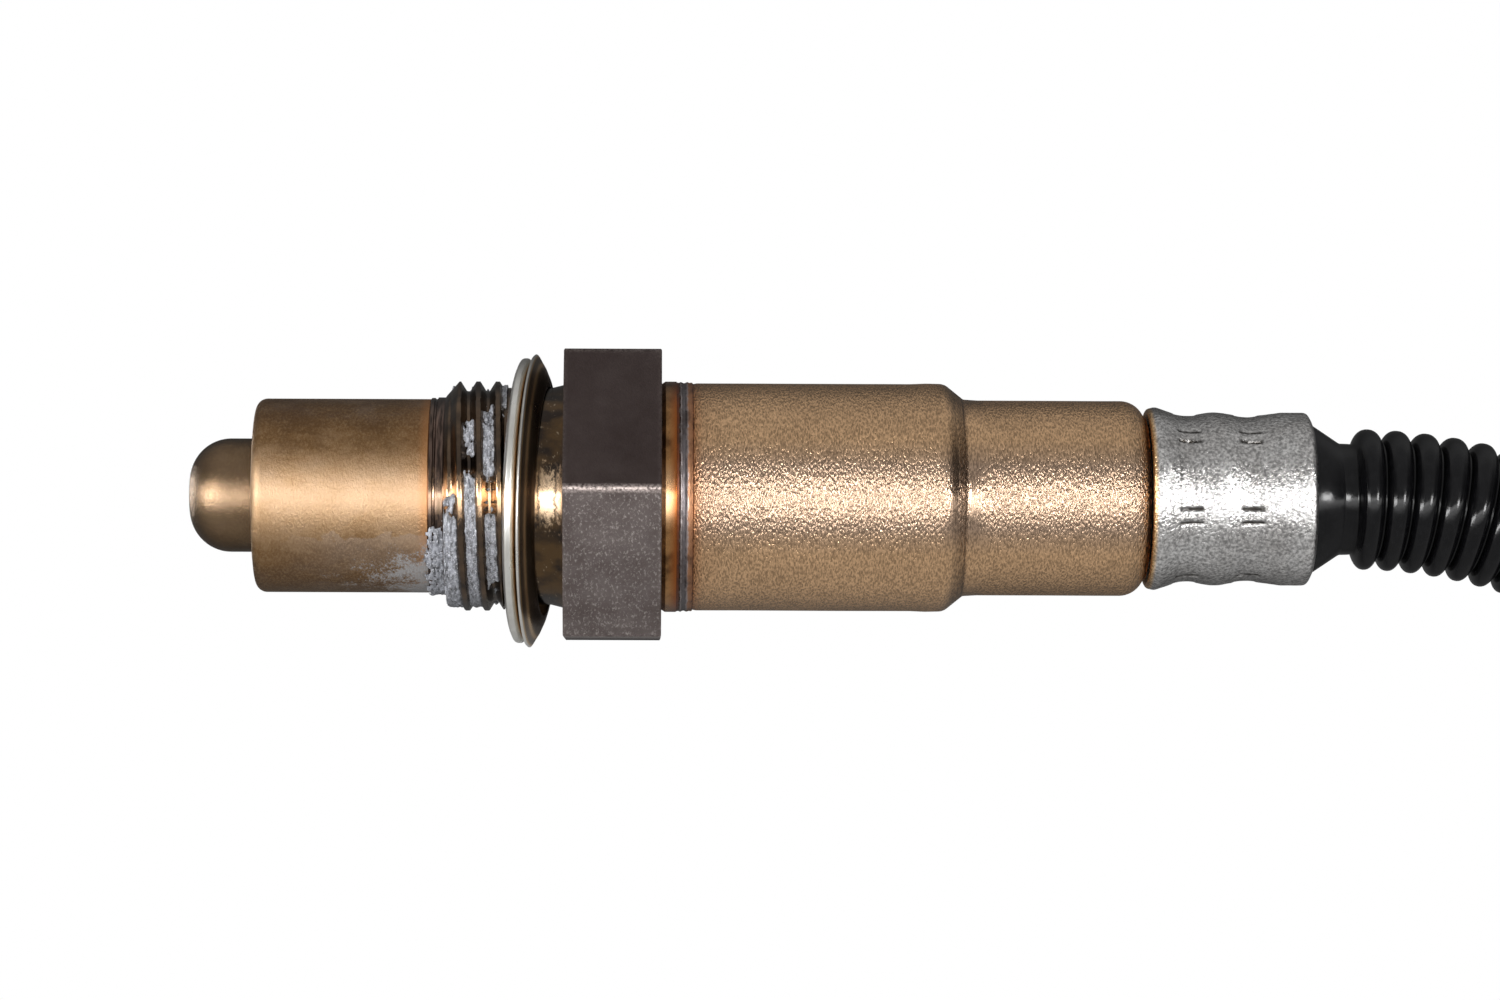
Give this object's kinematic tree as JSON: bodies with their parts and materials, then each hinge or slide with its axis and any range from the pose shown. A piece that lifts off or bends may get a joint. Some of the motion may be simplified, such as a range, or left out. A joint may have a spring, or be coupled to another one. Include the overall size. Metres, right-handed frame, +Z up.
{
  "type": "oxygen sensor",
  "caption": "Screw-in exhaust oxygen sensor: perforated double tip, threaded hexagon housing, folded crush washer, stepped shell, crimped sleeve, ribbed hose, coiled cable with a plug",
  "frame": {"origin": "on the sensor's axis in the seat plane, the front face of the hexagon", "axes": "+X along the sensor from the tip towards the cable, +Z up as it lies, the hexagon's flats facing up and down"},
  "size_m": [0.2251, 0.072, 0.023],
  "materials": {
    "tube_steel": "heat-tinted drawn steel, satin",
    "housing_steel": "dark oxidised turned steel",
    "washer_steel": "plain steel sheet",
    "shell_steel": "heat-tinted fine grained steel, satin",
    "weld_steel": "oxidised weld",
    "sleeve_steel": "bright crystalline steel",
    "element_ceramic": "fired zirconia",
    "bush_ceramic": "fired steatite",
    "powder": "pressed talc",
    "spring_steel": "spring steel",
    "contact_metal": "nickel alloy",
    "grommet_rubber": "fluoro rubber",
    "hose_rubber": "glossy black rubber",
    "wire_white": "wire insulation",
    "wire_grey": "wire insulation",
    "wire_black": "wire insulation",
    "wire_red": "wire insulation",
    "wire_yellow": "wire insulation",
    "cable_sheath": "black cable sheath",
    "tie_plastic": "black nylon",
    "connector_plastic": "glass filled nylon",
    "lock_plastic": "moulded lever",
    "seal_rubber": "silicone seal",
    "terminal_metal": "tinned brass"
  },
  "bodies": {
    "root": {"inner_protection_tube": "tube_steel", "outer_protection_tube": "tube_steel", "housing": "housing_steel", "crush_washer": "washer_steel", "sensor_element": "element_ceramic", "front_ceramic_bush": "bush_ceramic", "sealing_powder": "powder", "rear_ceramic_bush": "bush_ceramic", "spring_ring": "spring_steel", "contact_holder_upper": "bush_ceramic", "contact_holder_lower": "bush_ceramic", "holder_clamp_ring": "spring_steel", "contact_spring_1": "contact_metal", "contact_spring_2": "contact_metal", "contact_spring_3": "contact_metal", "contact_spring_4": "contact_metal", "contact_spring_5": "contact_metal", "weld_seam": "weld_steel", "metal_shell": "shell_steel", "wire_grommet": "grommet_rubber", "crimp_sleeve": "sleeve_steel", "hose_boot": "hose_rubber", "wire_white": "wire_white", "wire_grey": "wire_grey", "wire_black": "wire_black", "wire_red": "wire_red", "wire_yellow": "wire_yellow", "cable_lead": "cable_sheath", "cable_coil": "cable_sheath", "cable_tie": "tie_plastic", "connector_rear_cap": "connector_plastic", "connector_housing": "connector_plastic", "connector_wire_seal": "seal_rubber", "connector_front_seal": "seal_rubber", "connector_terminals": "terminal_metal", "connector_lock": "lock_plastic"}
  },
  "joints": []
}
